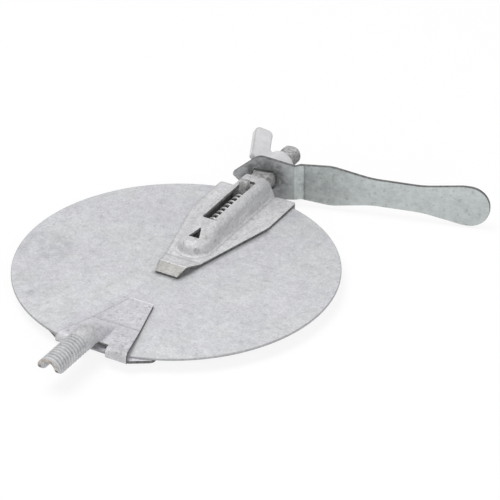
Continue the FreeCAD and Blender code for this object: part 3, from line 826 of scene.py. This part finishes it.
def mark_rounded(piece, radius):
    """Stores how sharply the surface rounds at each vertex, with 1 at the radius given."""
    build = bmesh.new()
    build.from_mesh(piece.data)
    build.normal_update()
    turns = []
    for vertex in build.verts:
        ways = [(edge.other_vert(vertex), edge.calc_length()) for edge in vertex.link_edges]
        bend = [(other.normal - vertex.normal).dot(other.co - vertex.co) / length ** 2
                for other, length in ways]
        turns.append(max(0.0, sum(bend) / len(bend)) * radius)
    build.free()
    mark = piece.data.attributes.new("rounded", "FLOAT", "POINT")
    mark.data.foreach_set("value", turns)
    print(f"{piece.name}: rounded up to {max(turns):.2f}")


print("casting helpers ready")


# %% [markdown]
# The nut is smoother and brighter than the shaft, and its rounded corners are painted darker as
# shade. That could be painted on, or read off a Bevel node, which is slow and works while the
# picture is made. Here the mesh stores its own bend at each point, and the material only reads it.

# %% The wing nut
nut_metal = plain_metal("cast_wing_nut", dark=(0.60, 0.60, 0.615), pale=(0.70, 0.70, 0.715),
                        scale=300.0, gloss=0.40, metallic=0.3, bump_height=0.03 * MM,
                        # painted shade along the rounded corners
                        tints=(marked("rounded", 0.15, 0.6, grey(0.74)),))
nut = cast_copy("wing_nut", nut_metal, bore=3.255 * MM, grain=0.16 * MM, rounds=12)
mark_rounded(nut, 0.8 * MM)
stand_in(smooth(nut, 80.0), "wing_nut", "nut")


# %% [markdown]
# The return spring is a coil of round wire. A Screw modifier could wind one, but with the same
# pitch all along. A compression spring has closed ends: the first and the last turn lie against
# their neighbours. So a Curve Spiral node carries a small circle along it, and the tree slides the
# spiral's points along the axis by a rule that slows down at both ends.

# %% The spring tree
wire_metal = plain_metal("spring_wire", dark=(0.46, 0.46, 0.47), pale=(0.70, 0.70, 0.71),
                         scale=600.0, gloss=0.42, metallic=0.3, bump_height=0.01 * MM)


def slid_turns(tree, size, turn):
    """The place along the spring of a point that lies a number of turns from its start."""
    last = maths(tree, "SUBTRACT", size["Turns"], 1.0)
    closed = maths(tree, "MULTIPLY", size["Wire radius"], 2.0)
    ends = maths(tree, "ADD", maths(tree, "MINIMUM", turn, 1.0),
                 maths(tree, "MAXIMUM", maths(tree, "SUBTRACT", turn, last), 0.0))
    open_turns = maths(tree, "SUBTRACT", turn, ends)
    room = maths(tree, "SUBTRACT", size["Length"], maths(tree, "MULTIPLY", closed, 2.0))
    pitch = maths(tree, "DIVIDE", room, maths(tree, "SUBTRACT", last, 1.0))
    return maths(tree, "MULTIPLY_ADD", open_turns, pitch, maths(tree, "MULTIPLY", ends, closed))


def spring_tree():
    tree = bpy.data.node_groups.new("wind_spring", "GeometryNodeTree")
    given, result = socket_inputs(tree, {
        "Turns": 11.0, "Coil radius": 2.6 * MM, "Wire radius": 0.4 * MM, "Start": 10 * MM,
        "Length": 26 * MM, "Height": 0.0})
    size = given.outputs
    coil = node(tree, "GeometryNodeCurveSpiral", {
        "Resolution": 40, "Rotations": size["Turns"], "Start Radius": size["Coil radius"],
        "End Radius": size["Coil radius"], "Height": size["Turns"]})
    x, y, turn = point_parts(tree)
    spot = node(tree, "ShaderNodeCombineXYZ", {"X": x, "Y": y, "Z": slid_turns(tree, size, turn)})
    slid = node(tree, "GeometryNodeSetPosition", {"Geometry": coil.outputs[0],
                                                  "Position": spot.outputs[0]})
    wire = node(tree, "GeometryNodeCurvePrimitiveCircle", {"Resolution": 12,
                                                           "Radius": size["Wire radius"]})
    tube = node(tree, "GeometryNodeCurveToMesh", {
        "Curve": slid.outputs[0], "Profile Curve": wire.outputs[0], "Fill Caps": True})
    place = node(tree, "ShaderNodeCombineXYZ", {"Y": size["Start"], "Z": size["Height"]})
    laid = node(tree, "GeometryNodeTransform", {
        "Geometry": tube.outputs[0], "Translation": place.outputs[0],
        "Rotation": (-math.pi / 2, 0, 0)})
    real = node(tree, "GeometryNodeRealizeInstances", {"Geometry": laid.outputs[0]})
    painted = node(tree, "GeometryNodeSetMaterial", {"Geometry": real.outputs[0],
                                                     "Material": wire_metal})
    tree.links.new(painted.outputs[0], result.inputs[0])
    return tree


wind_spring = spring_tree()
print("spring tree:", len(wind_spring.nodes), "nodes")


# %% [markdown]
# The solid's box gives the coil its length, width and height, and the wound coil takes the place of
# the solid, which is hidden.

# %% The return spring
spring_low, spring_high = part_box("return_spring")
wire_radius, open_pitch = 0.4 * MM, 2.3 * MM
spring = add_object("return_spring_wound", bpy.data.meshes.new("return_spring_wound"))
length = spring_high.y - spring_low.y - 2 * wire_radius
turns = (length - 4 * wire_radius) / open_pitch + 2
run_tree(spring, wind_spring, {
    "Turns": turns, "Coil radius": spring_high.x - wire_radius, "Wire radius": wire_radius,
    "Start": spring_low.y + wire_radius, "Length": length,
    "Height": (spring_low.z + spring_high.z) / 2})
smooth(spring, 60.0)
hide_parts("return_spring")
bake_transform(spring)
print(f"spring: {turns:.1f} turns, {len(spring.data.polygons)} faces")


# %% [markdown]
# The photograph is a cut-out on white. More light would bleach the metal too, so the floor and the
# sky glow to the camera alone, and to rays that a shiny surface sends back. The floor mixes that
# glow with white paint, which keeps a soft shadow under the part.

# %% Floor and sky
def seen_rays(tree):
    """1 for the rays that show the background: from the camera, a gloss or a glass."""
    rays = tree.nodes.new("ShaderNodeLightPath").outputs
    bounced = maths(tree, "MAXIMUM", rays["Is Glossy Ray"], rays["Is Transmission Ray"])
    return maths(tree, "MAXIMUM", rays["Is Camera Ray"], bounced)


def white_floor(reach=2.0, gap=0.2 * MM, paint=0.95, glow=0.85):
    level = cad_low.z - gap
    mesh = bpy.data.meshes.new("floor")
    mesh.from_pydata([(-reach, -reach, level), (reach, -reach, level), (reach, reach, level),
                      (-reach, reach, level)], [], [(0, 1, 2, 3)])
    material, tree, shader = new_material("white_floor")[:3]
    tree.nodes.remove(shader)
    painted = node(tree, "ShaderNodeBsdfDiffuse", {"Color": (*grey(paint), 1.0)})
    glowing = node(tree, "ShaderNodeEmission", {"Color": (*WHITE, 1.0), "Strength": 1.0})
    share = maths(tree, "MULTIPLY", seen_rays(tree), glow)
    both = node(tree, "ShaderNodeMixShader", {0: share, 1: painted.outputs[0],
                                              2: glowing.outputs[0]})
    tree.links.new(both.outputs[0], tree.nodes["Material Output"].inputs["Surface"])
    mesh.materials.append(material)
    add_object("floor", mesh)


def sky(level):
    """A white world that lights the part at a lower level than it shows."""
    world = bpy.data.worlds.new("studio")
    bpy.context.scene.world = world
    world.use_nodes = True
    tree = world.node_tree
    background = tree.nodes["Background"].inputs
    background["Color"].default_value = (*WHITE, 1.0)
    strength = maths(tree, "MULTIPLY_ADD", seen_rays(tree), 1.0 - level, level)
    tree.links.new(strength, background["Strength"])


white_floor()
sky(0.5)
print("floor and sky ready")


# %% [markdown]
# A large disc above gives the soft key light, and a weaker one low at the right keeps the near
# edges from going black. Small lamps would draw hard shadows that the photograph hasn't. The camera
# stands far off with a long lens: the blade's ellipse in the photograph tells how high it stood,
# and the pivot line how far round.

# %% Light and camera
def lamp(name, place, size, power):
    light = bpy.data.lights.new(name, "AREA")
    light.shape, light.size, light.energy = "DISK", size, power
    made = add_object(name, light)
    made.location = place
    made.rotation_euler = (-Vector(place)).to_track_quat("-Z", "Y").to_euler()


def camera(azimuth, elevation, distance, aim, lens):
    shot = bpy.data.cameras.new("camera")
    shot.lens, shot.sensor_width = lens, 36.0
    shot.clip_start, shot.clip_end = 0.01, 20.0
    made = add_object("camera", shot)
    side, up = math.radians(azimuth), math.radians(elevation)
    back = Vector((math.sin(side) * math.cos(up), -math.cos(side) * math.cos(up), math.sin(up)))
    made.location = Vector(aim) + back * distance
    made.rotation_euler = (-back).to_track_quat("-Z", "Y").to_euler()
    bpy.context.scene.camera = made


lamp("key_light", (-0.4, -0.3, 1.6), size=1.0, power=15.0)
lamp("fill_light", (0.7, -0.8, 0.5), size=0.8, power=4.0)
camera(azimuth=30.0, elevation=31.7, distance=0.898, aim=(0.0141, 0.0193, -0.0039), lens=216.0)
bpy.context.scene.view_settings.view_transform = "Standard"
print("camera at", [round(value, 3) for value in bpy.context.scene.camera.location])
